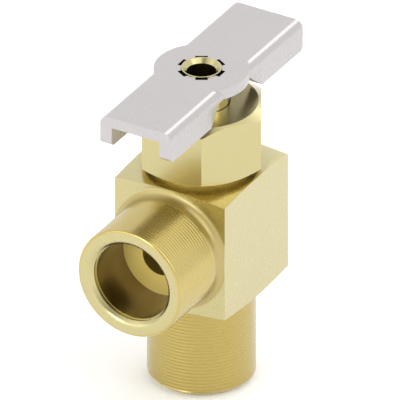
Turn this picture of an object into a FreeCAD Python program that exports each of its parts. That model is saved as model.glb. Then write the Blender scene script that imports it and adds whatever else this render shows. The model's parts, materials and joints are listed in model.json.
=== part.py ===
"""Angle compression shutoff valve: square brass body, hex bonnet, splined spindle and two-armed handle.

The valve stands on the end face of its lower port. Z runs up the spindle axis, and the front port points
along -Y. It is drawn shut: the rubber seat washer closes the seat and the handle lies along the front port.
"""

import FreeCAD, Part
import math
import os
import Sketcher

doc = FreeCAD.newDocument("compression_shutoff_valve")

# Driving sizes in millimetres, angles in degrees
SIZES = (
    ("tube_diameter", 15.875, "outside of the tube that enters either port"),
    ("tube_clearance", 0.06, "radial room of the tube in its socket"),
    ("socket_depth", 11.7, "how far the tube goes in"),
    ("lower_mouth_chamfer", 0.5, "cone at the lower socket's mouth that the sleeve seats on"),
    ("front_mouth_chamfer", 0.95, "cone at the front socket's mouth that the sleeve seats on"),
    ("waterway_diameter", 7.6, "drilled passage behind each socket"),
    ("lower_port_diameter", 20.64, "outside of the lower male thread"),
    ("lower_chamfer_width", 1.3, "lead-in of the lower thread, radial"),
    ("lower_chamfer_height", 1.3, "lead-in of the lower thread, along the axis"),
    ("front_port_diameter", 22.5, "outside of the front male thread"),
    ("front_port_reach", 27.4, "spindle axis to the front port's end face"),
    ("front_rim_round", 0.55, "rounding of the front port's outer end edge"),
    ("front_root_round", 1.6, "hollow rounding where the front port leaves the block"),
    ("port_height", 32.8, "front port's axis above the lower end face"),
    ("block_width", 24.0, "across the square body"),
    ("block_height", 25.8, "height of the square body, centred on the front port"),
    ("block_corner_angle", 8.6, "slope of the turned top and bottom corners"),
    ("seat_drop", 6.0, "front port's axis down to the seat's lip"),
    ("seat_lip_height", 1.4, "seat's lip above the chamber floor"),
    ("seat_lip_diameter", 10.4, "outside of the seat's lip"),
    ("chamber_diameter", 15.2, "chamber above the seat"),
    ("bonnet_thread_diameter", 18.4, "bonnet's shank in the body"),
    ("bonnet_shank_length", 7.2, "shank inside the block"),
    ("thread_clearance", 0.05, "radial room of a threaded pair"),
    ("bonnet_neck_height", 1.05, "gap between the block and the hex"),
    ("hex_across_flats", 22.6, "bonnet's hex"),
    ("hex_height", 12.7, "bonnet's hex along the axis"),
    ("hex_flat_diameter", 21.7, "round flat left by the hex's chamfers"),
    ("hex_chamfer_angle", 30.0, "slope of the hex's chamfers"),
    ("gasket_thickness", 1.0, "flat ring under the bonnet's shank"),
    ("gasket_inner_diameter", 13.6, "flat ring's hole"),
    ("bonnet_bore_diameter", 11.1, "upper bore that the O-rings run in"),
    ("spindle_diameter", 10.8, "spindle where it leaves the bonnet"),
    ("spindle_thread_diameter", 12.5, "lifting thread of the spindle"),
    ("spindle_thread_length", 8.8, "lifting thread along the axis"),
    ("spindle_foot_diameter", 9.2, "plain foot below the lifting thread"),
    ("spindle_foot_length", 6.4, "plain foot along the axis"),
    ("lift", 3.375, "rise of the spindle from shut to open"),
    ("lift_spare", 0.15, "room left above the thrust washer when open"),
    ("thrust_washer_thickness", 0.6, "slip ring on the spindle's shoulder"),
    ("slip_clearance", 0.05, "room of the small rings and discs in their seats"),
    ("o_ring_section", 1.0, "thickness of an O-ring"),
    ("o_ring_groove_width", 1.4, "spindle's groove along the axis"),
    ("o_ring_clearance", 0.05, "radial room of an O-ring in the bore"),
    ("lower_o_ring_rise", 5.2, "thrust washer's seat to the lower O-ring's middle"),
    ("o_ring_spacing", 2.9, "middle to middle of the two O-rings"),
    ("handle_gap", 0.65, "handle's legs above the hex when shut"),
    ("head_diameter", 7.74, "spindle's round head above its splines"),
    ("head_stand_out", 0.16, "spindle's head above the handle's top"),
    ("spline_diameter", 9.02, "across the tips of two opposite splines"),
    ("spline_width", 2.28, "one spline"),
    ("spline_height", 1.1, "splines up from the handle's seat"),
    ("head_bore_diameter", 5.7, "blind hole down the spindle's head"),
    ("head_bore_depth", 9.0, "blind hole's straight depth"),
    ("head_countersink_diameter", 7.2, "flared mouth of the blind hole"),
    ("head_countersink_depth", 0.8, "depth of the flared mouth"),
    ("drill_tip_angle", 118.0, "point of every blind hole"),
    ("handle_length", 50.0, "over both arms"),
    ("handle_width", 15.4, "across one arm"),
    ("handle_depth", 6.25, "top of the handle to the bottom of its legs"),
    ("handle_plate", 2.2, "top plate of the handle"),
    ("handle_leg", 2.5, "thickness of a leg"),
    ("handle_edge_round", 1.65, "rounding along the arms' top edges"),
    ("handle_foot_round", 1.15, "rounding of a leg's outer lower corner"),
    ("handle_hub_diameter", 18.2, "round hub plate"),
    ("handle_hole_room", 0.05, "radial room of the spindle's head in the handle"),
    ("leg_run_out_start", 9.7, "spindle axis to where a leg's lower edge starts to rise"),
    ("leg_taper_start", 9.35, "spindle axis to where a leg's outer face turns in"),
    ("leg_taper", 0.8, "how far a leg's outer face turns in"),
    ("seat_washer_diameter", 12.0, "rubber disc that closes the seat"),
    ("seat_washer_thickness", 2.8, "rubber disc along the axis"),
    ("seat_washer_gap", 0.05, "rubber disc above the seat's lip when shut"),
    ("seat_washer_hole", 3.6, "hole through the rubber disc"),
    ("holder_rim_thickness", 0.9, "rim round the rubber disc"),
    ("holder_rim_depth", 1.6, "how far the rim covers the rubber disc"),
    ("holder_flange_thickness", 1.4, "holder's flange over the rubber disc"),
    ("holder_pin_diameter", 4.8, "holder's pin in the spindle's foot"),
    ("holder_pin_length", 6.2, "holder's pin along the axis"),
    ("holder_pin_clearance", 0.08, "radial room of the pin in the spindle's foot"),
    ("foot_gap", 0.1, "spindle's foot above the holder's flange"),
    ("ring_height", 4.2, "flange to the middle of the retaining ring"),
    ("ring_thickness", 0.6, "retaining ring along the axis"),
    ("ring_inner_diameter", 3.9, "retaining ring's hole"),
    ("ring_outer_diameter", 5.9, "retaining ring's outside"),
    ("ring_opening", 1.6, "gap in the retaining ring"),
    ("ring_room", 0.12, "play of the ring in the spindle's groove"),
    ("ring_groove_start", 4.4, "inside of the groove's cut, within the pin's hole"),
    ("screw_diameter", 3.0, "screw that holds the rubber disc"),
    ("screw_length", 8.0, "screw under its head"),
    ("screw_head_diameter", 5.4, "screw's head"),
    ("screw_head_height", 1.5, "screw's head along the axis"),
    ("screw_slot_width", 0.8, "driver slot"),
    ("screw_slot_depth", 0.7, "driver slot"),
    ("plate_diameter", 6.4, "small washer under the screw's head"),
    ("plate_thickness", 0.6, "small washer along the axis"),
)


class Size:
    """A length that knows both its number and the formula over the sheet that gives it."""

    def __init__(self, number, formula):
        self.number = number
        self.formula = formula

    def __add__(self, other):
        other = sized(other)
        return Size(self.number + other.number, f"({self.formula} + {other.formula})")

    def __sub__(self, other):
        other = sized(other)
        return Size(self.number - other.number, f"({self.formula} - {other.formula})")

    def __rsub__(self, other):
        return sized(other) - self

    def __mul__(self, factor):
        return Size(self.number * factor, f"({self.formula} * {factor})")

    def __truediv__(self, factor):
        return Size(self.number / factor, f"({self.formula} / {factor})")

    def __neg__(self):
        return Size(-self.number, f"(-{self.formula})")

    def times_tan(self, angle):
        """This length times the tangent of an angle that the sheet holds in degrees."""
        number = self.number * math.tan(math.radians(angle.number))
        return Size(number, f"({self.formula} * tan({angle.formula} * 1 deg))")


def sized(value):
    return value if isinstance(value, Size) else Size(float(value), repr(value))


def fill_sheet():
    """Write the driving sizes to the sheet and return them by name."""
    sheet = doc.addObject("Spreadsheet::Sheet", "sizes")
    named = {}
    for row, (name, number, note) in enumerate(SIZES, start=1):
        sheet.set(f"A{row}", name)
        sheet.set(f"B{row}", str(number))
        sheet.set(f"C{row}", note)
        sheet.setAlias(f"B{row}", name)
        named[name] = Size(number, f"sizes.{name}")
    doc.recompute()
    return named


size = fill_sheet()
ZERO = sized(0)

# Radii and levels that several pieces share
socket_radius = size["tube_diameter"] / 2 + size["tube_clearance"]
waterway_radius = size["waterway_diameter"] / 2
block_half = size["block_width"] / 2
block_bottom = size["port_height"] - size["block_height"] / 2
block_top = size["port_height"] + size["block_height"] / 2

seat_level = size["port_height"] - size["seat_drop"]
chamber_floor = seat_level - size["seat_lip_height"]
chamber_radius = size["chamber_diameter"] / 2
bonnet_thread_radius = size["bonnet_thread_diameter"] / 2
bonnet_bottom = block_top - size["bonnet_shank_length"]
gasket_seat = bonnet_bottom - size["gasket_thickness"]
hex_bottom = block_top + size["bonnet_neck_height"]
hex_top = hex_bottom + size["hex_height"]

washer_bottom = seat_level + size["seat_washer_gap"]
washer_top = washer_bottom + size["seat_washer_thickness"]
holder_top = washer_top + size["holder_flange_thickness"]
foot_bottom = holder_top + size["foot_gap"]
thread_bottom = foot_bottom + size["spindle_foot_length"]
thrust_seat = thread_bottom + size["spindle_thread_length"]
thrust_top = thrust_seat + size["thrust_washer_thickness"]
bonnet_shoulder = thrust_top + size["lift"] + size["lift_spare"]
ring_level = holder_top + size["ring_height"]

spindle_radius = size["spindle_diameter"] / 2
bonnet_bore_radius = size["bonnet_bore_diameter"] / 2
spindle_thread_radius = size["spindle_thread_diameter"] / 2
o_ring_outer = bonnet_bore_radius - size["o_ring_clearance"]
o_ring_inner = o_ring_outer - size["o_ring_section"]
lower_o_ring_level = thrust_seat + size["lower_o_ring_rise"]
upper_o_ring_level = lower_o_ring_level + size["o_ring_spacing"]

handle_bottom = hex_top + size["handle_gap"]
handle_top = handle_bottom + size["handle_depth"]
handle_seat = handle_top - size["handle_plate"]
head_top = handle_top + size["head_stand_out"]


def new_body(label):
    body = doc.addObject("PartDesign::Body", label)
    body.Label = label
    return body


def new_sketch(body, name, plane, lift=ZERO):
    """An empty sketch on one of the body's own planes, moved along the plane's normal by lift."""
    sketch = body.newObject("Sketcher::SketchObject", name)
    support = next(item for item in body.Origin.OriginFeatures if item.Role == plane)
    sketch.AttachmentSupport = [(support, "")]
    sketch.MapMode = "FlatFace"
    sketch.setExpression("AttachmentOffset.Base.z", lift.formula)
    return sketch


def bind(sketch, kind, *args):
    """Add a constraint whose last argument is a Size, and tie it to the sheet."""
    index = sketch.addConstraint(Sketcher.Constraint(kind, *args[:-1], args[-1].number))
    sketch.setExpression(f"Constraints[{index}]", args[-1].formula)


def arc_between(start, end, radius):
    """The shorter arc from start to end. It turns left when radius is positive and right when negative."""
    chord = end - start
    reach = abs(radius.number)
    rise = math.sqrt(max(reach ** 2 - chord.Length ** 2 / 4, 0.0))
    left = FreeCAD.Vector(-chord.y, chord.x, 0).normalize()
    centre = (start + end) / 2 + left * math.copysign(rise, radius.number)
    first, last = (start, end) if radius.number > 0 else (end, start)
    first_angle = math.atan2(first.y - centre.y, first.x - centre.x)
    last_angle = math.atan2(last.y - centre.y, last.x - centre.x)
    if last_angle < first_angle:
        last_angle += 2 * math.pi
    circle = Part.Circle(centre, FreeCAD.Vector(0, 0, 1), reach)
    return Part.ArcOfCircle(circle, first_angle, last_angle)


def add_outline(sketch, corners):
    """Draw a closed outline. A corner is (x, y), or (x, y, radius) when an arc leads on from it."""
    points = [FreeCAD.Vector(sized(corner[0]).number, sized(corner[1]).number, 0) for corner in corners]
    offset = sketch.GeometryCount
    count = len(corners)
    ends = []
    for index, corner in enumerate(corners):
        start, end = points[index], points[(index + 1) % count]
        curved = len(corner) == 3
        side = arc_between(start, end, corner[2]) if curved else Part.LineSegment(start, end)
        sketch.addGeometry(side, False)
        ends.append((2, 1) if curved and corner[2].number < 0 else (1, 2))
    for index in range(count):
        after = (index + 1) % count
        sketch.addConstraint(Sketcher.Constraint(
            "Coincident", offset + index, ends[index][1], offset + after, ends[after][0]))
    for index, corner in enumerate(corners):
        bind(sketch, "DistanceX", -1, 1, offset + index, ends[index][0], sized(corner[0]))
        bind(sketch, "DistanceY", -1, 1, offset + index, ends[index][0], sized(corner[1]))
        if len(corner) == 3:
            bind(sketch, "Radius", offset + index, corner[2] if corner[2].number > 0 else -corner[2])


def turn(body, name, corners, cut=False, plane="XZ_Plane", axis="V_Axis", height=ZERO):
    """Add or cut a form turned from an outline of (radius, height) corners about a sketch axis."""
    sketch = new_sketch(body, name + "_profile", plane)
    sketch.setExpression("AttachmentOffset.Base.y", height.formula)
    add_outline(sketch, corners)
    feature = body.newObject("PartDesign::Groove" if cut else "PartDesign::Revolution", name)
    feature.Profile = sketch
    feature.ReferenceAxis = (sketch, [axis])
    feature.Angle = 360
    sketch.Visibility = False
    return feature


def extrude(body, name, sketch, length, cut=False, through=False):
    """Pad the sketch along its normal by a Size, or cut it back against the normal or right through."""
    feature = body.newObject("PartDesign::Pocket" if cut else "PartDesign::Pad", name)
    feature.Profile = sketch
    if through:
        feature.Type = "ThroughAll"
        feature.Midplane = True
    else:
        feature.setExpression("Length", length.formula)
    sketch.Visibility = False
    return feature


def rectangle(left, bottom, right, top):
    return [(left, bottom), (right, bottom), (right, top), (left, top)]


def ring_outline(inner, outer, bottom, top):
    return rectangle(inner, bottom, outer, top)


def hole_outline(radius, mouth, depth_level, downwards=True):
    """A blind drilled hole from its mouth to its straight end, with the drill's point beyond it."""
    half_point = Size(90.0, "90") - size["drill_tip_angle"] / 2
    tip = radius.times_tan(half_point)
    tip_level = depth_level - tip if downwards else depth_level + tip
    return [(ZERO, mouth), (radius, mouth), (radius, depth_level), (ZERO, tip_level)]


def edges_where(shape, test):
    """Names of the edges whose middle point passes the test."""
    names = []
    for index, edge in enumerate(shape.Edges, start=1):
        middle = edge.valueAt((edge.FirstParameter + edge.LastParameter) / 2)
        if test(edge, middle):
            names.append(f"Edge{index}")
    return names


def round_edges(body, name, base, radius, test):
    doc.recompute()
    feature = body.newObject("PartDesign::Fillet", name)
    feature.Base = (base, edges_where(base.Shape, test))
    feature.setExpression("Radius", radius.formula)
    return feature


def near(value, wanted):
    return abs(value - wanted.number) < 1e-4


def make_valve_body():
    """Square brass body with its two threaded ports, waterways, raised seat and bonnet hole."""
    body = new_body("valve_body")
    block = new_sketch(body, "block_outline", "XY_Plane", block_bottom)
    add_outline(block, rectangle(-block_half, -block_half, block_half, block_half))
    extrude(body, "block", block, size["block_height"])

    fall = block_half.times_tan(size["block_corner_angle"])
    outside = size["block_width"]
    turn(body, "top_corners", [
        (block_half, block_top), (outside, block_top - fall), (outside, block_top + 1),
        (block_half, block_top + 1),
    ], cut=True)
    turn(body, "bottom_corners", [
        (block_half, block_bottom), (block_half, block_bottom - 1), (outside, block_bottom - 1),
        (outside, block_bottom + fall),
    ], cut=True)

    front_radius = size["front_port_diameter"] / 2
    end = -size["front_port_reach"]
    face = -block_half
    root = size["front_root_round"]
    rim = size["front_rim_round"]
    turn(body, "front_port", [
        (end, ZERO), (face, ZERO), (face, front_radius + root, -root), (face - root, front_radius),
        (end + rim, front_radius, rim), (end, front_radius - rim),
    ], plane="YZ_Plane", axis="H_Axis", height=size["port_height"])
    sides = new_sketch(body, "side_trim_outline", "XY_Plane", block_top)
    for sign in (-1, 1):
        near_x = block_half * sign
        far_x = size["block_width"] * sign
        left, right = (far_x, near_x) if sign < 0 else (near_x, far_x)
        add_outline(sides, rectangle(left, face - root * 2, right, face))
    extrude(body, "side_trim", sides, size["block_height"], cut=True)

    lower_radius = size["lower_port_diameter"] / 2
    turn(body, "lower_port", [
        (ZERO, ZERO), (lower_radius - size["lower_chamfer_width"], ZERO),
        (lower_radius, size["lower_chamfer_height"]), (lower_radius, block_bottom + 1),
        (ZERO, block_bottom + 1),
    ])

    lower_mouth = size["lower_mouth_chamfer"]
    front_mouth = size["front_mouth_chamfer"]
    lip_radius = size["seat_lip_diameter"] / 2
    bonnet_hole = bonnet_thread_radius + size["thread_clearance"]
    turn(body, "lower_waterway", [
        (ZERO, ZERO), (socket_radius + lower_mouth, ZERO), (socket_radius, lower_mouth),
        (socket_radius, size["socket_depth"]), (waterway_radius, size["socket_depth"]),
        (waterway_radius, seat_level), (lip_radius, seat_level), (lip_radius, chamber_floor),
        (chamber_radius, chamber_floor), (chamber_radius, gasket_seat), (bonnet_hole, gasket_seat),
        (bonnet_hole, block_top + 1), (ZERO, block_top + 1),
    ], cut=True)
    socket_end = end + size["socket_depth"]
    turn(body, "front_waterway", [
        (end, ZERO), (ZERO, ZERO), (ZERO, waterway_radius), (socket_end, waterway_radius),
        (socket_end, socket_radius), (end + front_mouth, socket_radius), (end, socket_radius + front_mouth),
    ], cut=True, plane="YZ_Plane", axis="H_Axis", height=size["port_height"])
    return body


def make_bonnet():
    """Hex bonnet: threaded shank in the body, lifting thread's bore below and O-ring bore above."""
    body = new_body("bonnet")
    turn(body, "shank", rectangle(ZERO, bonnet_bottom, bonnet_thread_radius, hex_bottom + 1))
    hex_sketch = new_sketch(body, "hex_outline", "XY_Plane", hex_bottom)
    corner_radius = size["hex_across_flats"] / math.sqrt(3)
    corners = [(corner_radius * round(math.cos(math.radians(60 * step)), 12),
                corner_radius * round(math.sin(math.radians(60 * step)), 12)) for step in range(6)]
    add_outline(hex_sketch, corners)
    extrude(body, "hex", hex_sketch, size["hex_height"])

    flat_radius = size["hex_flat_diameter"] / 2
    outside = size["hex_across_flats"]
    fall = (outside - flat_radius).times_tan(size["hex_chamfer_angle"])
    turn(body, "hex_top_chamfer", [
        (flat_radius, hex_top), (outside, hex_top - fall), (outside, hex_top + 1), (flat_radius, hex_top + 1),
    ], cut=True)
    turn(body, "hex_bottom_chamfer", [
        (flat_radius, hex_bottom), (flat_radius, hex_bottom - 1), (outside, hex_bottom - 1),
        (outside, hex_bottom + fall),
    ], cut=True)
    thread_bore = spindle_thread_radius + size["thread_clearance"]
    turn(body, "bore", [
        (ZERO, bonnet_bottom - 1), (thread_bore, bonnet_bottom - 1), (thread_bore, bonnet_shoulder),
        (bonnet_bore_radius, bonnet_shoulder), (bonnet_bore_radius, hex_top + 1), (ZERO, hex_top + 1),
    ], cut=True)
    return body


def make_spindle():
    """Spindle: plain foot, lifting thread, journal with two O-ring grooves and hollow splined head."""
    body = new_body("spindle")
    foot_radius = size["spindle_foot_diameter"] / 2
    groove_radius = o_ring_inner - size["slip_clearance"]
    half_groove = size["o_ring_groove_width"] / 2
    head_radius = size["head_diameter"] / 2
    outline = [
        (ZERO, foot_bottom), (foot_radius, foot_bottom), (foot_radius, thread_bottom),
        (spindle_thread_radius, thread_bottom), (spindle_thread_radius, thrust_seat),
        (spindle_radius, thrust_seat),
    ]
    for level in (lower_o_ring_level, upper_o_ring_level):
        outline += [
            (spindle_radius, level - half_groove), (groove_radius, level - half_groove),
            (groove_radius, level + half_groove), (spindle_radius, level + half_groove),
        ]
    outline += [(spindle_radius, handle_seat), (head_radius, handle_seat), (head_radius, head_top),
                (ZERO, head_top)]
    turn(body, "turned_form", outline)

    spline = new_sketch(body, "spline_outline", "XY_Plane", handle_seat)
    half_width = size["spline_width"] / 2
    half_length = size["spline_diameter"] / 2
    add_outline(spline, rectangle(-half_length, -half_width, half_length, half_width))
    bar = extrude(body, "spline_pair", spline, size["spline_height"])
    repeat_about_spindle(body, "splines", bar)

    bore_radius = size["head_bore_diameter"] / 2
    bore_end = head_top - size["head_bore_depth"]
    turn(body, "head_bore", hole_outline(bore_radius, head_top, bore_end), cut=True)
    turn(body, "head_countersink", [
        (ZERO, head_top), (size["head_countersink_diameter"] / 2, head_top),
        (bore_radius, head_top - size["head_countersink_depth"]),
        (ZERO, head_top - size["head_countersink_depth"]),
    ], cut=True)

    pin_hole = size["holder_pin_diameter"] / 2 + size["holder_pin_clearance"]
    pin_hole_end = holder_top + size["holder_pin_length"] + size["foot_gap"] * 2
    turn(body, "pin_hole", hole_outline(pin_hole, foot_bottom, pin_hole_end, downwards=False), cut=True)
    groove = size["ring_outer_diameter"] / 2 + size["ring_room"]
    half_ring = size["ring_thickness"] / 2 + size["ring_room"]
    turn(body, "ring_groove", ring_outline(
        size["ring_groove_start"] / 2, groove, ring_level - half_ring, ring_level + half_ring), cut=True)
    return body


def repeat_about_spindle(body, name, feature):
    """Three copies of a feature that crosses the axis: six splines or slots, 60 degrees apart."""
    pattern = body.newObject("PartDesign::PolarPattern", name)
    pattern.Originals = [feature]
    pattern.Axis = (feature.Profile[0], ["N_Axis"])
    pattern.Angle = 360
    pattern.Occurrences = 3
    body.Tip = pattern
    return pattern


def make_handle():
    """Two-armed handle: top plate, four hanging legs that run out at the round hub, splined hole."""
    body = new_body("handle")
    half_width = size["handle_width"] / 2
    half_length = size["handle_length"] / 2
    plate = new_sketch(body, "plate_outline", "XY_Plane", handle_seat)
    add_outline(plate, rectangle(-half_width, -half_length, half_width, half_length))
    plate_pad = extrude(body, "plate", plate, size["handle_plate"])
    round_edges(body, "arm_edges", plate_pad, size["handle_edge_round"], lambda edge, middle:
                near(middle.z, handle_top) and abs(abs(middle.x) - half_width.number) < 1e-4)

    hub = new_sketch(body, "hub_outline", "XY_Plane", handle_seat)
    add_circle(hub, size["handle_hub_diameter"] / 2)
    extrude(body, "hub", hub, size["handle_plate"])

    hub_radius = size["handle_hub_diameter"] / 2
    run_out_end = (hub_radius + half_width).number * (hub_radius - half_width).number
    leg_end = Size(math.sqrt(run_out_end),
                   f"sqrt({(hub_radius + half_width).formula} * {(hub_radius - half_width).formula})")
    foot = size["handle_foot_round"]
    inner_face = half_width - size["handle_leg"]
    legs = new_sketch(body, "leg_outline", "YZ_Plane", inner_face)
    for sign in (1, -1):
        add_outline(legs, [
            (half_length * sign, handle_seat), (half_length * sign, handle_bottom + foot, foot * -sign),
            ((half_length - foot) * sign, handle_bottom), (size["leg_run_out_start"] * sign, handle_bottom),
            (leg_end * sign, handle_seat),
        ])
    leg_pad = extrude(body, "right_legs", legs, size["handle_leg"])
    taper = new_sketch(body, "leg_taper_outline", "XY_Plane", handle_seat)
    for sign in (1, -1):
        add_outline(taper, [
            (half_width, size["leg_taper_start"] * sign), (half_width - size["leg_taper"], leg_end * sign),
            (half_width, leg_end * sign),
        ])
    taper_cut = extrude(body, "right_leg_taper", taper, size["handle_depth"], cut=True)
    mirror = body.newObject("PartDesign::Mirrored", "left_legs")
    mirror.Originals = [leg_pad, taper_cut]
    mirror.MirrorPlane = (next(item for item in body.Origin.OriginFeatures if item.Role == "YZ_Plane"), [""])
    body.Tip = mirror

    hole = new_sketch(body, "hole_outline", "XY_Plane", handle_top)
    add_circle(hole, size["head_diameter"] / 2 + size["handle_hole_room"])
    extrude(body, "hole", hole, size["handle_plate"], cut=True)
    slot = new_sketch(body, "slot_outline", "XY_Plane", handle_top)
    slot_half_width = size["spline_width"] / 2 + size["slip_clearance"]
    slot_half_length = size["spline_diameter"] / 2 + size["slip_clearance"]
    add_outline(slot, rectangle(-slot_half_length, -slot_half_width, slot_half_length, slot_half_width))
    slot_cut = extrude(body, "slot_pair", slot, size["handle_plate"], cut=True)
    repeat_about_spindle(body, "slots", slot_cut)
    return body


def add_circle(sketch, radius):
    index = sketch.addGeometry(Part.Circle(FreeCAD.Vector(), FreeCAD.Vector(0, 0, 1), radius.number), False)
    sketch.addConstraint(Sketcher.Constraint("Coincident", index, 3, -1, 1))
    bind(sketch, "Radius", index, radius)


def make_turned(label, corners):
    """A piece that is one turned form."""
    body = new_body(label)
    turn(body, "turned_form", corners)
    return body


def make_o_ring(label, level):
    ring = doc.addObject("Part::Torus", label)
    ring.Label = label
    ring.setExpression("Radius1", ((o_ring_outer + o_ring_inner) / 2).formula)
    ring.setExpression("Radius2", (size["o_ring_section"] / 2).formula)
    ring.setExpression("Placement.Base.z", level.formula)
    return ring


def make_disc_holder():
    """Cup over the rubber disc, with the pin that the spindle's foot turns on."""
    cup_radius = size["seat_washer_diameter"] / 2 + size["slip_clearance"]
    rim_radius = cup_radius + size["holder_rim_thickness"]
    rim_bottom = washer_top - size["holder_rim_depth"]
    pin_radius = size["holder_pin_diameter"] / 2
    pin_top = holder_top + size["holder_pin_length"]
    neck_radius = size["ring_inner_diameter"] / 2 - size["slip_clearance"]
    half_neck = size["ring_thickness"] / 2 + size["slip_clearance"]
    body = make_turned("disc_holder", [
        (ZERO, washer_top), (cup_radius, washer_top), (cup_radius, rim_bottom), (rim_radius, rim_bottom),
        (rim_radius, holder_top), (pin_radius, holder_top), (pin_radius, ring_level - half_neck),
        (neck_radius, ring_level - half_neck), (neck_radius, ring_level + half_neck),
        (pin_radius, ring_level + half_neck), (pin_radius, pin_top), (ZERO, pin_top),
    ])
    tapped = size["screw_diameter"] / 2 + size["thread_clearance"]
    screw_tip = washer_bottom - size["plate_thickness"] + size["screw_length"]
    turn(body, "screw_hole", hole_outline(tapped, washer_top, screw_tip + size["foot_gap"], downwards=False),
         cut=True)
    return body


def make_retaining_ring():
    """Open spring ring that keeps the holder's pin in the spindle's foot."""
    half = size["ring_thickness"] / 2
    outer = size["ring_outer_diameter"] / 2
    body = make_turned("retaining_ring", ring_outline(
        size["ring_inner_diameter"] / 2, outer, ring_level - half, ring_level + half))
    gap = new_sketch(body, "opening_outline", "XY_Plane", ring_level + half)
    half_gap = size["ring_opening"] / 2
    add_outline(gap, rectangle(-half_gap, ZERO, half_gap, outer + 1))
    extrude(body, "opening", gap, size["ring_thickness"], cut=True)
    return body


def make_washer_screw():
    """Slotted screw from below, through the small washer and the rubber disc into the holder."""
    head_top = washer_bottom - size["plate_thickness"]
    head_bottom = head_top - size["screw_head_height"]
    head = size["screw_head_diameter"] / 2
    shank = size["screw_diameter"] / 2
    tip = head_top + size["screw_length"]
    body = make_turned("washer_screw", [
        (ZERO, head_bottom), (head, head_bottom), (head, head_top), (shank, head_top), (shank, tip),
        (ZERO, tip),
    ])
    slot = new_sketch(body, "slot_outline", "XY_Plane", head_bottom + size["screw_slot_depth"])
    half_slot = size["screw_slot_width"] / 2
    add_outline(slot, rectangle(-head - 1, -half_slot, head + 1, half_slot))
    extrude(body, "slot", slot, size["screw_slot_depth"] + 1, cut=True)
    return body


def make_all():
    seat_washer_radius = size["seat_washer_diameter"] / 2
    return [
        make_valve_body(),
        make_bonnet(),
        make_turned("bonnet_gasket", ring_outline(
            size["gasket_inner_diameter"] / 2, bonnet_thread_radius, gasket_seat, bonnet_bottom)),
        make_spindle(),
        make_turned("thrust_washer", ring_outline(
            spindle_radius + size["slip_clearance"], spindle_thread_radius - size["slip_clearance"],
            thrust_seat, thrust_top)),
        make_o_ring("spindle_o_ring_lower", lower_o_ring_level),
        make_o_ring("spindle_o_ring_upper", upper_o_ring_level),
        make_handle(),
        make_disc_holder(),
        make_retaining_ring(),
        make_turned("seat_washer", ring_outline(
            size["seat_washer_hole"] / 2, seat_washer_radius, washer_bottom, washer_top)),
        make_turned("screw_washer", ring_outline(
            size["screw_diameter"] / 2 + size["thread_clearance"], size["plate_diameter"] / 2,
            washer_bottom - size["plate_thickness"], washer_bottom)),
        make_washer_screw(),
    ]


def check_and_export(pieces):
    """Stop on any failed feature or bad solid, and write one file for each piece."""
    doc.recompute()
    failed = [item.Name for item in doc.Objects if "Invalid" in item.State or "Error" in item.State]
    if failed:
        raise RuntimeError(f"these objects failed: {failed}")
    os.makedirs("parts", exist_ok=True)
    for piece in pieces:
        shape = piece.Shape
        if shape.isNull() or not shape.isValid() or len(shape.Solids) != 1:
            raise RuntimeError(f"{piece.Label} is not one valid solid")
        shape.exportStep(f"parts/{piece.Label}.step")
        print(f"{piece.Label:22s} volume {shape.Volume:9.2f} mm3")


check_and_export(make_all())
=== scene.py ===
"""Angle compression shutoff valve: cut threads, broken edges, finishes and a plain studio."""

import json
import math

import bmesh
import bpy
from bpy.props import FloatProperty, FloatVectorProperty, PointerProperty
from mathutils import Euler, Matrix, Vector


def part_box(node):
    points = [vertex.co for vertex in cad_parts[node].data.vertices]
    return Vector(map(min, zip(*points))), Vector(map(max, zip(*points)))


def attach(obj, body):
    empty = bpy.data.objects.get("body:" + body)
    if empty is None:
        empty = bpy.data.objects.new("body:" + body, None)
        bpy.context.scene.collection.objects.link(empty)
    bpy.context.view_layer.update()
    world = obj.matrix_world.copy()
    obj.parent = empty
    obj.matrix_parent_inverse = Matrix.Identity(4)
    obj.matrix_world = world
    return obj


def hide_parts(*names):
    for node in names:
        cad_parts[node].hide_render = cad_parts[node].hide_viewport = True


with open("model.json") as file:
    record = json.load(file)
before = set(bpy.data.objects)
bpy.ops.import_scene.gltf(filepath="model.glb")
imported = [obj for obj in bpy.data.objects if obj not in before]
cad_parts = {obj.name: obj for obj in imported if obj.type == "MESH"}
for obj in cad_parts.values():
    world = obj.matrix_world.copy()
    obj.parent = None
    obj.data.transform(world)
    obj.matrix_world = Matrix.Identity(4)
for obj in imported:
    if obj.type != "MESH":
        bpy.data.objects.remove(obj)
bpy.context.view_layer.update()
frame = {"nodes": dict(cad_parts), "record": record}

bl_info = {
    "name": "Compression shutoff valve",
    "version": (1, 0, 0),
    "blender": (4, 5, 0),
    "location": "3D View > Sidebar > Shutoff valve",
    "description": "Builds an angle compression shutoff valve and a plain studio round it",
    "category": "Object",
}

MM = 0.001
TURN_STEPS = 96
MERGE_DISTANCE = 0.03 * MM
SAME_FACE_ANGLE = math.radians(0.6)

# Places and sizes read from the frame
BODY_LOW, BODY_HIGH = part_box("valve_body")
BONNET_LOW, BONNET_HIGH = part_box("bonnet")
SPINDLE_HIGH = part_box("spindle")[1]
SCREW_LOW, SCREW_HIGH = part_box("washer_screw")
MOUNTS = {mount["name"]: mount for mount in frame["record"]["mounts"]}
PORT_HEIGHT = MOUNTS["front_socket"]["pos_m"][2]
SOCKET_RADIUS = MOUNTS["front_socket"]["dims"]["r_mm"] * MM
LOWER_PORT_RADIUS = MOUNTS["lower_thread"]["dims"]["r_mm"] * MM
FRONT_PORT_RADIUS = MOUNTS["front_thread"]["dims"]["r_mm"] * MM
FRONT_PORT_REACH = -BODY_LOW.y
FRONT_AXIS, LOWER_AXIS = (0, 0, PORT_HEIGHT), (0, 0, 0)
SHANK_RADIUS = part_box("bonnet_gasket")[1].x
LIFTING_THREAD_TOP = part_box("thrust_washer")[0].z

# From each port's end face to its thread, and the narrow step in the front socket's mouth
LOWER_THREAD_GAP, FRONT_THREAD_GAP = 0.25 * MM, 0.3 * MM
RING_STEP_RADIUS, RING_STEP_DEPTH = 8.15 * MM, 1.55 * MM

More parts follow.
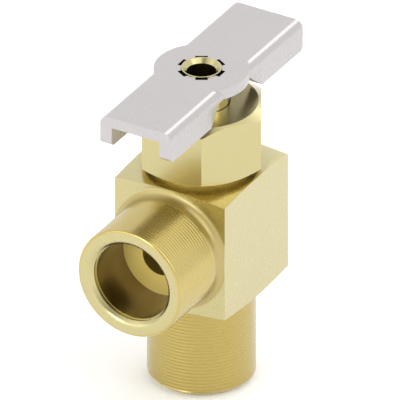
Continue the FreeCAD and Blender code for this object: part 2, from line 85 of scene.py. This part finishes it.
# How a thread's cutter widens above the surface, how far it lifts clear at its end, and over how many turns
CUTTER_FLARE, CUTTER_LIFT, RUN_OUT_TURNS = 0.08 * MM, 0.1 * MM, 0.5

# Where one finish of a piece ends and the next begins
STEP_FACE_RADIUS, STEP_FACE_REACH = 7.0 * MM, FRONT_PORT_REACH / 1.5
WATERWAY_RADIUS, WATERWAY_REACH = 4.0 * MM, FRONT_PORT_REACH / 4
FRONT_BORE_START, LOWER_BORE_END = 13.0 * MM, 12.0 * MM
HEX_BOTTOM, HEX_CHAMFER = BONNET_HIGH.z - 12.6 * MM, 2.0 * MM
NECK_INSIDE = 6.0 * MM
HEAD_BORE_RADIUS, HEAD_BORE_DEPTH = 2.9 * MM, 3.0 * MM
SLOT_RADIUS = 4.7 * MM
THREAD_FADE, ROOT_FADE = 0.6 * MM, 0.06 * MM
ROOT_END = -BODY_HIGH.x - 0.08 * MM

# The part of a face's normal along an axis: less than the first on a wall round the axis, more than the
# second on a chamfer and more than the third on a flat across it
WALL, CHAMFER, FLAT = 0.1, 0.2, 0.9

# The photograph's view, and the studio's lights with their place and width in metres and their power in watts
FOCUS = Vector((-1.26, 1.62, 36.32)) * MM
AZIMUTH, ELEVATION = math.radians(30), math.radians(30)
VIEW_WIDTH, CAMERA_DISTANCE = 75.67 * MM, 0.5
LIGHTS = (
    ("front_light", (-0.55, -0.95, 0.65), 1.2, 3.4),
    ("top_light", (0.56, -0.18, 0.93), 0.9, 3.0),
    ("back_light", (-0.03, 0.75, 0.66), 0.45, 0.95),
    ("side_light", (0.9, 0.0, 0.55), 0.4, 0.8),
    ("socket_light", (-0.1, -0.95, 0.42), 0.3, 1.7),
)
DIM_SIDE = (0.1, -0.5, 0.86)


def linear(code):
    """Linear colour, with alpha, of a #RRGGBB sRGB code."""
    parts = [int(code[start:start + 2], 16) / 255 for start in (1, 3, 5)]
    return tuple(part / 12.92 if part <= 0.04045 else ((part + 0.055) / 1.055) ** 2.4
                 for part in parts) + (1.0,)


def length(name, description, millimetres):
    """A length for the add-on's panel, given in millimetres."""
    return FloatProperty(name=name, description=description, default=millimetres * MM, min=0.0,
                         subtype="DISTANCE", unit="LENGTH", precision=5)


def colour(name, description, code):
    """A colour for the add-on's panel, given as an sRGB code."""
    return FloatVectorProperty(name=name, description=description, default=linear(code), size=4,
                               min=0.0, max=1.0, subtype="COLOR")


class ValveSizes(bpy.types.PropertyGroup):
    """Sizes of the details that the solids leave out."""
    port_pitch: length("Port thread pitch", "Ring to ring of the threads on both ports", 0.717)
    port_depth: length("Port thread depth", "Depth of the grooves on both ports", 0.14)
    port_groove: length("Port groove width", "Width of a groove at the thread's outside", 0.62)
    port_root: length("Port root width", "Width of a groove at its bottom", 0.1)
    lower_lead: length("Lower lead-in", "Length of the cone at the lower port's end", 1.3)
    lower_end: length("Lower thread end", "End face to the last groove of the lower thread", 18.2)
    front_start: length("Front thread start", "Spindle axis to the first groove of the front thread", 14.6)
    body_edge: length("Body edge break", "Width of the broken edges on the square body", 0.16)
    mouth_round: length("Front mouth rounding", "Rounding of the front mouth's outer edge", 0.5)
    bonnet_edge: length("Bonnet edge break", "Width of the broken edges on the hex bonnet", 0.16)
    handle_edge: length("Handle edge break", "Width of the cast edges on the handle", 0.22)
    lifting_pitch: length("Lifting thread pitch", "Rise of the spindle in one turn of the handle", 1.5)
    bonnet_pitch: length("Bonnet thread pitch", "Thread of the bonnet's shank", 1.0)
    screw_pitch: length("Screw pitch", "Thread of the seat washer's screw", 0.5)


class ValveColours(bpy.types.PropertyGroup):
    """Colours of the finishes."""
    brass: colour("Brass", "Clean machined brass", "#BFB378")
    brass_deep: colour("Brass shade", "Darker patches of the machined brass", "#BCB074")
    # The two threads' colours are deeper than the brass: painted shade and reflection of their grooves
    thread: colour("Lower thread brass", "Die-cut thread of the lower port", "#AF9838")
    front_thread: colour("Front thread brass", "Die-cut thread of the front port", "#BDA850")
    # The port root's darker colour is painted shade in the hollow where the port leaves the block
    root: colour("Port root", "Blended root where the front port leaves the block", "#B3A055")
    # The socket step's bright colour is painted light at the bottom of the socket
    step: colour("Socket step", "Faced step at the end of a tube socket", "#FFE77F")
    step_deep: colour("Socket step shade", "Darker patches of the faced step", "#F8DE74")
    # The neck's bright colour is painted light under the hex
    neck: colour("Bonnet neck", "Bright turned neck and underside of the bonnet", "#FFE27A")
    neck_deep: colour("Neck shade", "Darker patches of the bonnet's neck", "#F6D86E")
    # The bore's dark colours are painted shade inside the sockets
    bore: colour("Bore brass", "Drilled wall of the tube sockets", "#7C6628")
    bore_deep: colour("Bore shade", "Darker patches of the drilled wall", "#6C571C")
    # The waterway's colour is painted light and shade inside the hole
    waterway: colour("Waterway brass", "Drilled wall of the waterway behind the front socket", "#C8AE4E")
    brass_dull: colour("Turned brass", "Brass of the hidden turned pieces", "#D2B764")
    handle: colour("Handle", "Satin finish on the cast handle", "#BFBBBA")
    handle_shade: colour("Handle shade", "Slightly darker patches of the finish", "#BBB7B6")
    # The slots' dark colours are painted shade inside the handle's slots
    slot: colour("Handle slots", "Unpainted zinc in the handle's slots", "#3B3836")
    slot_shade: colour("Slot shade", "Darker patches in the slots", "#2E2C2A")
    # The head bore's dark colour is painted shade inside the hole
    head_bore: colour("Head bore", "Drilled hole in the spindle's head", "#4E4019")
    rubber: colour("Seal rubber", "Seat washer and O-rings", "#1B1B1C")
    fibre: colour("Fibre", "Flat ring under the bonnet", "#7A3B2E")
    plastic: colour("Slip ring", "Moulded slip ring on the spindle", "#EDEBE4")
    steel: colour("Spring steel", "Retaining ring", "#B9BBBD")
    floor: colour("Floor", "Seamless studio floor", "#FFFFFF")


def sizes():
    """The sizes set in the panel."""
    return bpy.context.scene.valve_sizes


def colours():
    """The colours set in the panel."""
    return bpy.context.scene.valve_colours


# Modelling helpers

def select_only(piece):
    """Select the piece alone and make it active."""
    bpy.ops.object.select_all(action="DESELECT")
    piece.select_set(True)
    bpy.context.view_layer.objects.active = piece


def merged_copy(node, name):
    """A new piece with the shape of a CAD node, its loose triangles merged into whole faces."""
    piece = bpy.data.objects.new(name, frame["nodes"][node].data.copy())
    piece.data.name = name
    piece.data.materials.clear()
    bpy.context.scene.collection.objects.link(piece)
    select_only(piece)
    bpy.ops.mesh.customdata_custom_splitnormals_clear()
    bpy.ops.object.mode_set(mode="EDIT")
    bpy.ops.mesh.select_all(action="SELECT")
    bpy.ops.mesh.remove_doubles(threshold=MERGE_DISTANCE)
    bpy.ops.mesh.dissolve_limited(angle_limit=SAME_FACE_ANGLE)
    bpy.ops.object.mode_set(mode="OBJECT")
    return piece


def apply_modifier(piece, name, kind, **settings):
    """Add a modifier with its settings and apply it."""
    modifier = piece.modifiers.new(name, kind)
    for setting, value in settings.items():
        setattr(modifier, setting, value)
    select_only(piece)
    bpy.ops.object.modifier_apply(modifier=modifier.name)


def break_edges(piece, width, segments=2, angle=30.0, shortest=2.0 * MM, here=None):
    """Narrow rounded breaks on the outer edges that are sharper than the angle.

    They are those whose middle passes the test here, or else the edges longer than shortest, which leaves out
    the short edges round circles.
    """
    select_only(piece)
    bpy.ops.object.mode_set(mode="EDIT")
    bpy.ops.mesh.select_mode(type="EDGE")
    bpy.ops.mesh.select_all(action="DESELECT")
    form = bmesh.from_edit_mesh(piece.data)
    for edge in form.edges:
        sharp = edge.is_convex and edge.calc_face_angle(0.0) > math.radians(angle)
        middle = (edge.verts[0].co + edge.verts[1].co) / 2
        chosen = here(middle) if here else edge.calc_length() > shortest
        edge.select_set(bool(sharp and chosen))
    bmesh.update_edit_mesh(piece.data)
    bpy.ops.mesh.bevel(offset=width, segments=segments, affect="EDGES", clamp_overlap=True)
    bpy.ops.object.mode_set(mode="OBJECT")


def smooth(piece, angle=32.0):
    """Smooth shading up to the angle, with the large faces kept flat."""
    select_only(piece)
    bpy.ops.object.shade_smooth_by_angle(angle=math.radians(angle))
    apply_modifier(piece, "flat_faces", "WEIGHTED_NORMAL", mode="FACE_AREA", weight=50, keep_sharp=True)


def cut_thread(piece, radius, depth, pitch, start, end, groove, root, lead=0.0, tilt=None, place=None):
    """Cut a right-hand helical groove into a round part of the piece, from start to end along its axis.

    The axis is Z unless tilt and place turn and move it. lead is the length of a 45 degree cone at the start
    that the groove follows, and the groove leaves the surface over its last RUN_OUT_TURNS. Above the surface
    the cutter widens by less than the land between two grooves, because one that meets itself cuts nothing.
    """
    bpy.ops.object.select_all(action="DESELECT")
    bpy.ops.mesh.primitive_circle_add(vertices=4, radius=radius, location=(0, 0, 0))
    cutter = bpy.context.object
    # The groove's section at the thread's start
    flare = min((pitch - groove) / 3, CUTTER_FLARE)
    above = flare * depth / ((groove - root) / 2)
    corners = [(radius + above, -groove / 2 - flare), (radius - depth, -root / 2),
               (radius - depth, root / 2), (radius + above, groove / 2 + flare)]
    for vertex, (out, up) in zip(cutter.data.vertices, corners):
        vertex.co = (out, 0.0, start + up)
    turns = math.ceil((end - start) / pitch)
    apply_modifier(cutter, "helix", "SCREW", axis="Z", angle=math.tau, screw_offset=pitch, iterations=turns,
                   steps=TURN_STEPS, render_steps=TURN_STEPS, use_merge_vertices=False,
                   use_smooth_shade=False)
    # Each ring of four corners follows the cone at the start, and lifts out at the end
    rings = len(cutter.data.vertices) // 4
    last = TURN_STEPS * RUN_OUT_TURNS
    for index, vertex in enumerate(cutter.data.vertices):
        rise = max(0.0, (index // 4) - (rings - 1 - last)) / last * (depth + CUTTER_LIFT)
        drop = max(0.0, start + lead - (start + pitch * (index // 4) / TURN_STEPS))
        out = Vector((vertex.co.x, vertex.co.y, 0.0))
        vertex.co += out.normalized() * (rise - drop)
    select_only(cutter)
    bpy.ops.object.mode_set(mode="EDIT")
    bpy.ops.mesh.select_all(action="SELECT")
    bpy.ops.mesh.fill_holes(sides=4)
    bpy.ops.mesh.select_all(action="SELECT")
    bpy.ops.mesh.normals_make_consistent(inside=False)
    bpy.ops.object.mode_set(mode="OBJECT")
    if tilt:
        cutter.rotation_euler = tilt
    if place:
        cutter.location = place
    bpy.ops.object.transform_apply(location=True, rotation=True, scale=True)
    apply_modifier(piece, "thread", "BOOLEAN", operation="DIFFERENCE", solver="EXACT", object=cutter)
    bpy.data.objects.remove(cutter)


def cut_ring_step(piece, radius, start, end, place):
    """Widen a bore along Y to the radius, from start to end, which leaves a narrow step."""
    bpy.ops.object.select_all(action="DESELECT")
    bpy.ops.mesh.primitive_cylinder_add(vertices=TURN_STEPS, radius=radius, depth=end - start,
                                        location=(place[0], (start + end) / 2, place[2]),
                                        rotation=(math.radians(90), 0, 0))
    cutter = bpy.context.object
    bpy.ops.object.transform_apply(location=True, rotation=True, scale=True)
    apply_modifier(piece, "step", "BOOLEAN", operation="DIFFERENCE", solver="EXACT", object=cutter)
    bpy.data.objects.remove(cutter)


def paint(piece, material, here):
    """Give a second finish to the faces whose middle and direction pass the test."""
    piece.data.materials.append(material)
    number = len(piece.data.materials) - 1
    for face in piece.data.polygons:
        if here(face.center, face.normal):
            face.material_index = number


def finish(piece, node, body, material):
    """Give the piece its material and let it stand for its CAD node."""
    piece.data.materials.clear()
    piece.data.materials.append(material)
    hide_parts(node)
    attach(piece, body)


def dress(node, material):
    """A new finish on a CAD node whose shape stays."""
    piece = frame["nodes"][node]
    piece.data.materials.clear()
    piece.data.materials.append(material)


# Material helpers

def add_node(tree, kind, settings=(), links=()):
    """Add a node. Settings and links name an input, or number it, and a setting may name a property.

    A mix node's inputs share their names, so they are numbered: 0 is the factor, 2 and 3 the values, 6 and 7
    the colours.
    """
    node = tree.nodes.new(kind)
    for key, value in dict(settings).items():
        if isinstance(key, int) or key in node.inputs:
            node.inputs[key].default_value = value
        else:
            setattr(node, key, value)
    for key, socket in dict(links).items():
        tree.links.new(socket, node.inputs[key])
    return node


def new_material(name, **sockets):
    """A material with one Principled shader, whose own sockets take the constants."""
    material = bpy.data.materials.new(name)
    material.use_nodes = True
    tree = material.node_tree
    tree.nodes.clear()
    shader = add_node(tree, "ShaderNodeBsdfPrincipled", {key.replace("_", " "): value
                                                         for key, value in sockets.items()})
    add_node(tree, "ShaderNodeOutputMaterial", links={"Surface": shader.outputs["BSDF"]})
    place = add_node(tree, "ShaderNodeTexCoord").outputs["Object"]
    return material, tree, shader, place


def grain(tree, place, millimetres, detail=2.0, stretch=(1.0, 1.0, 1.0)):
    """Noise whose patches are about so many millimetres across, stretched along an axis."""
    spread = add_node(tree, "ShaderNodeMapping", {"Scale": stretch}, {"Vector": place})
    noise = add_node(tree, "ShaderNodeTexNoise", {"Scale": 1 / (millimetres * MM), "Detail": detail},
                     {"Vector": spread.outputs["Vector"]})
    return noise.outputs["Fac"]


def uneven_skin(tree, patches, first, second, spots, low, high):
    """A colour that goes from the first to the second with the patches, and a roughness with the spots."""
    shades = add_node(tree, "ShaderNodeMix", {"data_type": "RGBA", 6: first, 7: second}, {0: patches})
    dullness = add_node(tree, "ShaderNodeMapRange", {"To Min": low, "To Max": high}, {"Value": spots})
    return shades.outputs[2], dullness.outputs["Result"]


def tool_rings(tree, place, millimetres):
    """Rings left by a lathe tool round Z, so many millimetres apart on flats and a quarter more along it."""
    apart = add_node(tree, "ShaderNodeSeparateXYZ", links={"Vector": place})
    flat = add_node(tree, "ShaderNodeCombineXYZ", links={"X": apart.outputs["X"], "Y": apart.outputs["Y"]})
    radius = add_node(tree, "ShaderNodeVectorMath", {"operation": "LENGTH"}, {0: flat.outputs["Vector"]})
    along = add_node(tree, "ShaderNodeMath", {"operation": "MULTIPLY_ADD", 1: 0.8},
                     {0: apart.outputs["Z"], 2: radius.outputs["Value"]})
    phase = add_node(tree, "ShaderNodeMath", {"operation": "MULTIPLY", 1: math.tau / (millimetres * MM)},
                     {0: along.outputs["Value"]})
    wave = add_node(tree, "ShaderNodeMath", {"operation": "SINE"}, {0: phase.outputs["Value"]})
    return wave.outputs["Value"]


def round_zone(tree, place, axis, end, fade, radius, middle):
    """One below end along the axis and outside the radius round it, falling to nought over the fade."""
    across = tuple(0.0 if name == axis else 1.0 for name in "XYZ")
    moved = add_node(tree, "ShaderNodeVectorMath", {"operation": "SUBTRACT", 1: middle}, {0: place})
    apart = add_node(tree, "ShaderNodeSeparateXYZ", links={"Vector": moved.outputs["Vector"]})
    flat = add_node(tree, "ShaderNodeVectorMath", {"operation": "MULTIPLY", 1: across},
                    {0: moved.outputs["Vector"]})
    out = add_node(tree, "ShaderNodeVectorMath", {"operation": "LENGTH"}, {0: flat.outputs["Vector"]})
    below = add_node(tree, "ShaderNodeMapRange",
                     {"From Min": end, "From Max": end + fade, "To Min": 1.0, "To Max": 0.0},
                     {"Value": apart.outputs[axis]})
    outside = add_node(tree, "ShaderNodeMath", {"operation": "GREATER_THAN", 1: radius},
                       {0: out.outputs["Value"]})
    return add_node(tree, "ShaderNodeMath", {"operation": "MULTIPLY"},
                    {0: below.outputs["Result"], 1: outside.outputs["Value"]}).outputs["Value"]


def machined_brass(name, first, second, roughness, ring_gap=0.0, metallic=1.0, zones=()):
    """Free-cutting brass, cut and tumbled: a clear warm metal with soft, slightly uneven reflections.

    The coat stands for the tumbled skin, which turns paler where it is seen at a slant. A face inside a
    socket or under the hex is less metallic, which keeps it as yellow as in the photograph, and the colours
    given to these faces are painted light and shade. The patches of shade and of dullness are coarser than
    tumbling leaves them, so that they show. Each zone has its own colour and dullness, and the zones' deeper
    colours are painted shade and reflection of the threads' grooves and the port's root. ring_gap is the feed
    of the lathe tool, whose fine rings show only near by.
    """
    material, tree, shader, place = new_material(name, Metallic=metallic, Roughness=roughness,
                                                 Coat_Weight=1.0, Coat_Roughness=0.25, Coat_IOR=1.75)
    shades, dullness = uneven_skin(tree, grain(tree, place, 9.0, detail=3.0), first, second,
                                   grain(tree, place, 2.5), roughness * 0.9, roughness * 1.1)
    for shade, dull, *zone in zones:
        here = round_zone(tree, place, *zone)
        shades = add_node(tree, "ShaderNodeMix", {"data_type": "RGBA", 7: shade},
                          {0: here, 6: shades}).outputs[2]
        dullness = add_node(tree, "ShaderNodeMix", {3: dull}, {0: here, 2: dullness}).outputs[0]
    tree.links.new(shades, shader.inputs["Base Color"])
    tree.links.new(dullness, shader.inputs["Roughness"])
    if ring_gap:
        rings = add_node(tree, "ShaderNodeBump", {"Strength": 0.5, "Distance": 0.0012 * MM},
                         {"Height": tool_rings(tree, place, ring_gap)})
        tree.links.new(rings.outputs["Normal"], shader.inputs["Normal"])
    return material


def cast_zinc(name, first, second):
    """Die-cast zinc under satin paint: an even grey with soft reflections, given a dark colour in the slots
    as painted shade.
    """
    material, tree, shader, place = new_material(name, Metallic=0.65, Roughness=0.28)
    shades, dullness = uneven_skin(tree, grain(tree, place, 6.0), first, second,
                                   grain(tree, place, 2.0), 0.25, 0.31)
    tree.links.new(shades, shader.inputs["Base Color"])
    tree.links.new(dullness, shader.inputs["Roughness"])
    return material


def moulded(name, base, roughness, grain_size, depth, variation=0.85):
    """A moulded or pressed soft piece: an even colour, and a skin with grains of a size and depth in mm."""
    material, tree, shader, place = new_material(name, Roughness=roughness)
    darker = tuple(part * variation for part in base[:3]) + (1.0,)
    shades = add_node(tree, "ShaderNodeMix", {"data_type": "RGBA", 6: base, 7: darker},
                      {0: grain(tree, place, grain_size * 4)})
    skin = add_node(tree, "ShaderNodeBump", {"Strength": 0.6, "Distance": depth * MM},
                    {"Height": grain(tree, place, grain_size, detail=3.0)})
    tree.links.new(shades.outputs[2], shader.inputs["Base Color"])
    tree.links.new(skin.outputs["Normal"], shader.inputs["Normal"])
    return material


def ground_steel(name, base):
    """Spring steel, blanked and barrel-ground: grey metal with short soft scratches."""
    material, tree, shader, place = new_material(name, Metallic=1.0, Roughness=0.32)
    scratches = grain(tree, place, 0.25, stretch=(1.0, 0.15, 1.0))
    darker = tuple(part * 0.8 for part in base[:3]) + (1.0,)
    shades, dullness = uneven_skin(tree, scratches, base, darker, scratches, 0.26, 0.4)
    tree.links.new(shades, shader.inputs["Base Color"])
    tree.links.new(dullness, shader.inputs["Roughness"])
    return material


# The valve's pieces

def from_front_axis(middle):
    """How far a point lies from the front port's axis."""
    return math.hypot(middle.x, middle.z - PORT_HEIGHT)


def from_spindle_axis(middle):
    """How far a point lies from the spindle's axis, which is the lower port's too."""
    return math.hypot(middle.x, middle.y)


def at_front_mouth(middle):
    """On the edge where the front mouth's cone meets the port's end face."""
    inner, outer = SOCKET_RADIUS + 0.5 * MM, FRONT_PORT_RADIUS - 1.5 * MM
    return middle.y < -FRONT_PORT_REACH + 0.1 * MM and inner < from_front_axis(middle) < outer


def in_bore(middle, normal):
    """On the drilled wall of either tube socket."""
    inside = SOCKET_RADIUS * 1.01
    front = middle.y < -FRONT_BORE_START and abs(normal.y) < WALL and from_front_axis(middle) < inside
    lower = middle.z < LOWER_BORE_END and abs(normal.z) < WALL and from_spindle_axis(middle) < inside
    return front or lower


def in_waterway(middle, normal):
    """On the wall of the drilled passage behind the front socket."""
    wall = abs(normal.y) < WALL and middle.y < -WATERWAY_REACH
    return wall and from_front_axis(middle) < WATERWAY_RADIUS


def on_step_face(middle, normal):
    """On the flat at the end of the front socket, round its waterway."""
    faced = normal.y < -FLAT and middle.y > -STEP_FACE_REACH
    return faced and from_front_axis(middle) < STEP_FACE_RADIUS


def on_neck(middle, normal):
    """On the bonnet's neck, the underside of its hex and the hex's lower chamfer."""
    under = normal.z < -CHAMFER and middle.z < HEX_BOTTOM + HEX_CHAMFER
    return from_spindle_axis(middle) > NECK_INSIDE and (middle.z < HEX_BOTTOM or under)


def in_head_bore(middle, normal):
    """On the wall of the blind hole in the spindle's head."""
    wall = abs(normal.z) < WALL and middle.z > BONNET_HIGH.z - HEAD_BORE_DEPTH
    return wall and from_spindle_axis(middle) < HEAD_BORE_RADIUS


def in_slot(middle, normal):
    """On the walls of the handle's hole and its six slots."""
    return abs(normal.z) < WALL and from_spindle_axis(middle) < SLOT_RADIUS


class VALVE_OT_body(bpy.types.Operator):
    """Square brass body with a thread cut on both ports"""
    bl_idname = "valve.body"
    bl_label = "Valve body"

    def execute(self, context):
        size, tint = sizes(), colours()
        piece = merged_copy("valve_body", "threaded_valve_body")
        break_edges(piece, size.body_edge)
        break_edges(piece, size.mouth_round, segments=4, here=at_front_mouth)
        cut_thread(piece, LOWER_PORT_RADIUS, size.port_depth, size.port_pitch, LOWER_THREAD_GAP,
                   size.lower_end, size.port_groove, size.port_root, lead=size.lower_lead - LOWER_THREAD_GAP)
        cut_thread(piece, FRONT_PORT_RADIUS, size.port_depth, size.port_pitch,
                   -FRONT_PORT_REACH + FRONT_THREAD_GAP, -size.front_start, size.port_groove,
                   size.port_root, tilt=Euler((math.radians(-90), 0, 0)), place=FRONT_AXIS)
        cut_ring_step(piece, RING_STEP_RADIUS, -FRONT_PORT_REACH - 0.5 * MM,
                      -FRONT_PORT_REACH + RING_STEP_DEPTH, FRONT_AXIS)
        smooth(piece)
        # Each zone has a colour, a roughness, and the axis, end, fade, inner radius and middle of its place
        lower_skin = LOWER_PORT_RADIUS - 0.7 * size.lower_lead
        front_skin = FRONT_PORT_RADIUS - 4 * size.port_depth
        # The zones' deeper colours are painted shade and reflection of the threads' grooves and of the port's
        # hollow root
        zones = (
            (tint.thread, 0.27, "Z", size.lower_end, THREAD_FADE, lower_skin, LOWER_AXIS),
            (tint.root, 0.5, "Y", ROOT_END, ROOT_FADE, front_skin, FRONT_AXIS),
            (tint.front_thread, 0.27, "Y", -size.front_start, THREAD_FADE, front_skin, FRONT_AXIS),
        )
        finish(piece, "valve_body", "valve",
               machined_brass("free_cutting_brass_body", tint.brass, tint.brass_deep, roughness=0.27,
                              zones=zones))
        # The step's bright, less metallic brass is painted light deep in the socket
        paint(piece, machined_brass("faced_brass_step", tint.step, tint.step_deep, roughness=0.6,
                                    metallic=0.2), on_step_face)
        # The bore's dark brass is painted shade inside the socket
        paint(piece, machined_brass("drilled_brass_bore", tint.bore, tint.bore_deep, roughness=0.3),
              in_bore)
        # The waterway's duller colour is painted light and shade inside the hole
        paint(piece, machined_brass("drilled_brass_waterway", tint.waterway, tint.bore, roughness=0.6,
                                    metallic=0.3), in_waterway)
        return {"FINISHED"}


class VALVE_OT_bonnet(bpy.types.Operator):
    """Hex bonnet with broken edges and a thread on its shank"""
    bl_idname = "valve.bonnet"
    bl_label = "Bonnet"

    def execute(self, context):
        size, tint = sizes(), colours()
        piece = merged_copy("bonnet", "hex_bonnet")
        break_edges(piece, size.bonnet_edge, shortest=6.0 * MM)
        cut_thread(piece, SHANK_RADIUS, depth=0.45 * MM, pitch=size.bonnet_pitch, start=BONNET_LOW.z,
                   end=BODY_HIGH.z - 0.8 * MM, groove=0.72 * MM, root=0.12 * MM)
        # The small angle keeps a crisp line between the hex and its chamfer
        smooth(piece, angle=22.0)
        finish(piece, "bonnet", "valve",
               machined_brass("free_cutting_brass_bonnet", tint.brass, tint.brass_deep, roughness=0.25))
        # The neck, the hex's underside and its lower chamfer get a brighter, less metallic brass: painted
        # light that brightens their reflections in the block's top
        paint(piece, machined_brass("bright_turned_brass_neck", tint.neck, tint.neck_deep,
                                    roughness=0.5, metallic=0.3), on_neck)
        return {"FINISHED"}


class VALVE_OT_spindle(bpy.types.Operator):
    """Spindle with its lifting thread, grooves and splined head"""
    bl_idname = "valve.spindle"
    bl_label = "Spindle"

    def execute(self, context):
        size, tint = sizes(), colours()
        piece = merged_copy("spindle", "splined_spindle")
        cut_thread(piece, SPINDLE_HIGH.x, depth=0.7 * MM, pitch=size.lifting_pitch,
                   start=LIFTING_THREAD_TOP - 9.0 * MM, end=LIFTING_THREAD_TOP - 0.6 * MM,
                   groove=0.9 * MM, root=0.45 * MM)
        smooth(piece)
        finish(piece, "spindle", "spindle",
               machined_brass("turned_brass_spindle", tint.brass, tint.brass_deep, roughness=0.2,
                              ring_gap=0.2))
        # The wall of the head's hole gets a dark brass: painted shade
        paint(piece, machined_brass("drilled_brass_head", tint.bore_deep, tint.head_bore,
                                    roughness=0.35), in_head_bore)
        return {"FINISHED"}


class VALVE_OT_handle(bpy.types.Operator):
    """Two-armed cast handle"""
    bl_idname = "valve.handle"
    bl_label = "Handle"

    def execute(self, context):
        size, tint = sizes(), colours()
        piece = merged_copy("handle", "two_armed_handle")
        break_edges(piece, size.handle_edge, segments=3, angle=35.0)
        smooth(piece)
        finish(piece, "handle", "spindle",
               cast_zinc("satin_painted_zinc", tint.handle, tint.handle_shade))
        # The walls of the hole and slots get a dark zinc: painted shade
        paint(piece, cast_zinc("bare_zinc_slots", tint.slot, tint.slot_shade), in_slot)
        return {"FINISHED"}


class VALVE_OT_seals(bpy.types.Operator):
    """Seat washer's screw with its thread, and the finishes of the seals, slip ring and disc's pieces"""
    bl_idname = "valve.seals"
    bl_label = "Seals and disc"

    def execute(self, context):
        size, tint = sizes(), colours()
        piece = merged_copy("washer_screw", "slotted_washer_screw")
        cut_thread(piece, radius=1.5 * MM, depth=0.25 * MM, pitch=size.screw_pitch,
                   start=SCREW_LOW.z + 1.7 * MM, end=SCREW_HIGH.z + 0.6 * MM,
                   groove=0.36 * MM, root=0.08 * MM)
        smooth(piece)
        turned = machined_brass("turned_brass_small", tint.brass_deep, tint.brass_dull, roughness=0.26)
        finish(piece, "washer_screw", "disc", turned)
        dress("screw_washer", turned)
        dress("disc_holder", turned)
        # Pressed rubber is a matt black, and an O-ring from a polished mould shines a little
        dress("seat_washer", moulded("nitrile_rubber_pressed", tint.rubber, roughness=0.62,
                                     grain_size=0.3, depth=0.01))
        o_ring = moulded("nitrile_rubber_moulded", tint.rubber, roughness=0.42, grain_size=0.2,
                         depth=0.004)
        dress("spindle_o_ring_lower", o_ring)
        dress("spindle_o_ring_upper", o_ring)
        # Fibre is a dull, flecked red brown, and acetal an even off-white with a soft shine
        dress("bonnet_gasket", moulded("vulcanised_fibre", tint.fibre, roughness=0.7, grain_size=0.4,
                                       depth=0.012, variation=0.7))
        dress("thrust_washer", moulded("acetal", tint.plastic, roughness=0.35, grain_size=0.5,
                                       depth=0.003))
        dress("retaining_ring", ground_steel("ground_spring_steel", tint.steel))
        return {"FINISHED"}


def add_area(name, place, width, power):
    """A square soft light that faces the valve."""
    bpy.ops.object.light_add(type="AREA", location=place)
    light = bpy.context.object
    light.name = name
    light.data.size = width
    light.data.energy = power
    light.rotation_euler = (FOCUS - place).to_track_quat("-Z", "Y").to_euler()


class VALVE_OT_studio(bpy.types.Operator):
    """Pale floor, soft lights and a parallel camera at the photograph's angle"""
    bl_idname = "valve.studio"
    bl_label = "Studio"

    def execute(self, context):
        scene = context.scene
        scene.view_settings.view_transform = "Standard"
        bpy.ops.object.select_all(action="DESELECT")
        bpy.ops.mesh.primitive_plane_add(size=4.0, location=(0, 0, 0))
        floor = context.object
        floor.name = "studio_floor"
        white = colours().floor
        floor.data.materials.append(new_material("matt_white_floor", Base_Color=white, Roughness=0.9,
                                                 Emission_Color=white, Emission_Strength=0.06)[0])

        world = bpy.data.worlds.new("soft_white_room")
        scene.world = world
        world.use_nodes = True
        tree = world.node_tree
        background = tree.nodes["Background"]
        background.inputs["Color"].default_value = (1.0, 1.0, 1.0, 1.0)
        # The white room is dimmer towards one side overhead, which gives the brass its darker reflections
        view = add_node(tree, "ShaderNodeTexCoord").outputs["Generated"]
        overhead = add_node(tree, "ShaderNodeVectorMath",
                            {"operation": "DOT_PRODUCT", 1: DIM_SIDE}, {0: view})
        strength = add_node(tree, "ShaderNodeMapRange",
                            {"From Min": 0.55, "From Max": 0.9, "To Min": 1.1, "To Max": 0.45},
                            {"Value": overhead.outputs["Value"]})
        tree.links.new(strength.outputs["Result"], background.inputs["Strength"])

        for name, place, width, power in LIGHTS:
            add_area(name, Vector(place), width, power)

        bpy.ops.object.camera_add()
        camera = context.object
        camera.name = "photo_camera"
        camera.data.type = "ORTHO"
        camera.data.ortho_scale = VIEW_WIDTH
        back = Vector((math.sin(AZIMUTH) * math.cos(ELEVATION), -math.cos(AZIMUTH) * math.cos(ELEVATION),
                       math.sin(ELEVATION)))
        camera.location = FOCUS + back * CAMERA_DISTANCE
        camera.rotation_euler = (math.pi / 2 - ELEVATION, 0, AZIMUTH)
        scene.camera = camera
        return {"FINISHED"}


class VALVE_PT_panel(bpy.types.Panel):
    """Lists the valve's pieces, sizes and colours"""
    bl_label = "Shutoff valve"
    bl_idname = "VALVE_PT_panel"
    bl_space_type = "VIEW_3D"
    bl_region_type = "UI"
    bl_category = "Shutoff valve"

    def draw(self, context):
        for operator in OPERATORS:
            self.layout.operator(operator.bl_idname)
        for group in (context.scene.valve_sizes, context.scene.valve_colours):
            box = self.layout.box()
            for name in group.__annotations__:
                box.prop(group, name)


OPERATORS = (VALVE_OT_body, VALVE_OT_bonnet, VALVE_OT_spindle, VALVE_OT_handle, VALVE_OT_seals,
             VALVE_OT_studio)
CLASSES = (ValveSizes, ValveColours) + OPERATORS + (VALVE_PT_panel,)


def register():
    for item in CLASSES:
        bpy.utils.register_class(item)
    bpy.types.Scene.valve_sizes = PointerProperty(type=ValveSizes)
    bpy.types.Scene.valve_colours = PointerProperty(type=ValveColours)


def unregister():
    del bpy.types.Scene.valve_colours
    del bpy.types.Scene.valve_sizes
    for item in reversed(CLASSES):
        bpy.utils.unregister_class(item)


def main():
    register()
    bpy.ops.valve.body()
    bpy.ops.valve.bonnet()
    bpy.ops.valve.spindle()
    bpy.ops.valve.handle()
    bpy.ops.valve.seals()
    bpy.ops.valve.studio()


if __name__ == "__main__":
    main()
